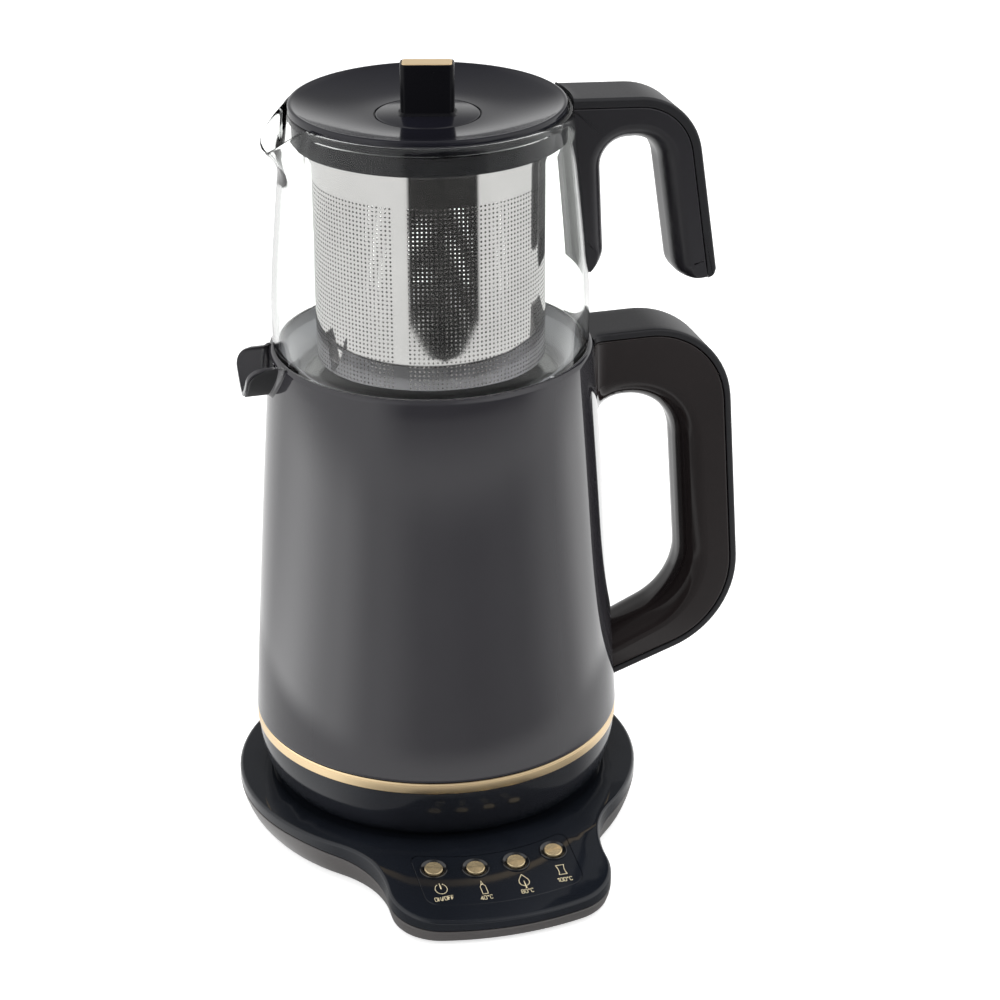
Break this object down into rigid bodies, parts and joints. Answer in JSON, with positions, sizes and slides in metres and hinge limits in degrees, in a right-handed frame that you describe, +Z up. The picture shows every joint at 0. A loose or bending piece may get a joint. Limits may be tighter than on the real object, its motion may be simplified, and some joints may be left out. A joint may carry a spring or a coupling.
{
  "type": "automatic tea maker",
  "caption": "Cordless kettle on a powered base with a sloping button panel, a glass teapot seated in its mouth, and an infuser and lid in the teapot.",
  "frame": {"origin": "on the kettle's upright axis, at the surface that the feet stand on", "axes": "+Z up along the kettle's axis, +X towards the handles, -X towards the spouts, -Y towards the control panel"},
  "size_m": [0.2234, 0.2185, 0.3407],
  "materials": {
    "base_lower": "satin moulded plastic",
    "base_cover": "gloss moulded plastic",
    "board": "solder mask",
    "matte_black": "fine matt texture",
    "contact_brass": "machined",
    "rubber_black": "matt",
    "screw_steel": "zinc plated",
    "bezel_black": "gloss",
    "button_metal": "spun, pale gold anodised",
    "skirt_black": "gloss",
    "gold_trim": "polished pale gold",
    "shell_grey": "gloss anthracite",
    "steel": "brushed",
    "mouth_grey": "satin",
    "silicone": "matt",
    "aluminium": "cast",
    "handle_gloss": "gloss dark brown grey",
    "handle_cover": "fine matt",
    "teapot_handle": "satin",
    "teapot_glass": "clear borosilicate glass",
    "collar_black": "gloss",
    "screen_steel": "polished, perforated",
    "lid_black": "gloss"
  },
  "bodies": {
    "base": {"base_bottom_shell": "base_lower", "base_top_cover": "base_cover", "control_panel_plate": "base_cover", "circuit_board": "board", "base_connector": "matte_black", "connector_contact_ring": "contact_brass", "cord_inlet": "rubber_black", "foot_1": "rubber_black", "foot_2": "rubber_black", "foot_3": "rubber_black", "foot_4": "rubber_black", "foot_5": "rubber_black", "base_screw_1": "screw_steel", "base_screw_2": "screw_steel", "base_screw_3": "screw_steel", "base_screw_4": "screw_steel", "button_bezel_1": "bezel_black", "button_bezel_2": "bezel_black", "button_bezel_3": "bezel_black", "button_bezel_4": "bezel_black", "button_switch_1": "matte_black", "button_switch_2": "matte_black", "button_switch_3": "matte_black", "button_switch_4": "matte_black"},
    "button_1": {"button_cap_1": "button_metal", "button_plunger_1": "matte_black"},
    "button_2": {"button_cap_2": "button_metal", "button_plunger_2": "matte_black"},
    "button_3": {"button_cap_3": "button_metal", "button_plunger_3": "matte_black"},
    "button_4": {"button_cap_4": "button_metal", "button_plunger_4": "matte_black"},
    "coupler": {"kettle_connector": "matte_black"},
    "kettle": {"kettle_skirt": "skirt_black", "trim_band": "gold_trim", "kettle_shell": "shell_grey", "kettle_spout": "shell_grey", "spout_liner": "matte_black", "spout_strainer": "steel", "mouth_ring": "mouth_grey", "mouth_seal": "silicone", "inner_vessel": "steel", "heating_plate": "aluminium", "heating_element": "steel", "thermostat": "aluminium", "kettle_handle_body": "handle_gloss", "kettle_handle_cover": "handle_cover", "handle_screw_1": "screw_steel", "handle_screw_2": "screw_steel"},
    "teapot": {"teapot_glass": "teapot_glass", "teapot_handle_body": "teapot_handle", "teapot_handle_cover": "handle_cover"},
    "infuser": {"infuser_collar": "collar_black", "infuser_screen": "screen_steel", "infuser_floor": "screen_steel"},
    "lid": {"lid_dish": "lid_black", "lid_insert": "lid_black", "lid_knob": "lid_black", "knob_cap": "gold_trim", "lid_screw": "screw_steel"}
  },
  "joints": [
    {"name": "button_1_press", "type": "slide", "parent": "base", "child": "button_1", "axis": [0, 0.1713, -0.9852], "range_m": [0, 0.0008], "stiffness_N_per_m": 250, "springref_m": -0.0004},
    {"name": "button_2_press", "type": "slide", "parent": "base", "child": "button_2", "axis": [0, 0.1713, -0.9852], "range_m": [0, 0.0008], "stiffness_N_per_m": 250, "springref_m": -0.0004},
    {"name": "button_3_press", "type": "slide", "parent": "base", "child": "button_3", "axis": [0, 0.1713, -0.9852], "range_m": [0, 0.0008], "stiffness_N_per_m": 250, "springref_m": -0.0004},
    {"name": "button_4_press", "type": "slide", "parent": "base", "child": "button_4", "axis": [0, 0.1713, -0.9852], "range_m": [0, 0.0008], "stiffness_N_per_m": 250, "springref_m": -0.0004},
    {"name": "kettle_lift", "type": "slide", "parent": "base", "child": "coupler", "axis": [0, 0, 1], "range_m": [0, 0.06]},
    {"name": "kettle_turn", "type": "hinge", "parent": "coupler", "child": "kettle", "pos_m": [0, 0, 0.03], "axis": [0, 0, 1], "continuous": true},
    {"name": "teapot_lift", "type": "slide", "parent": "kettle", "child": "teapot", "axis": [0, 0, 1], "range_m": [0, 0.05]},
    {"name": "infuser_lift", "type": "slide", "parent": "teapot", "child": "infuser", "axis": [0, 0, 1], "range_m": [0, 0.12]},
    {"name": "lid_lift", "type": "slide", "parent": "infuser", "child": "lid", "axis": [0, 0, 1], "range_m": [0, 0.05]}
  ]
}
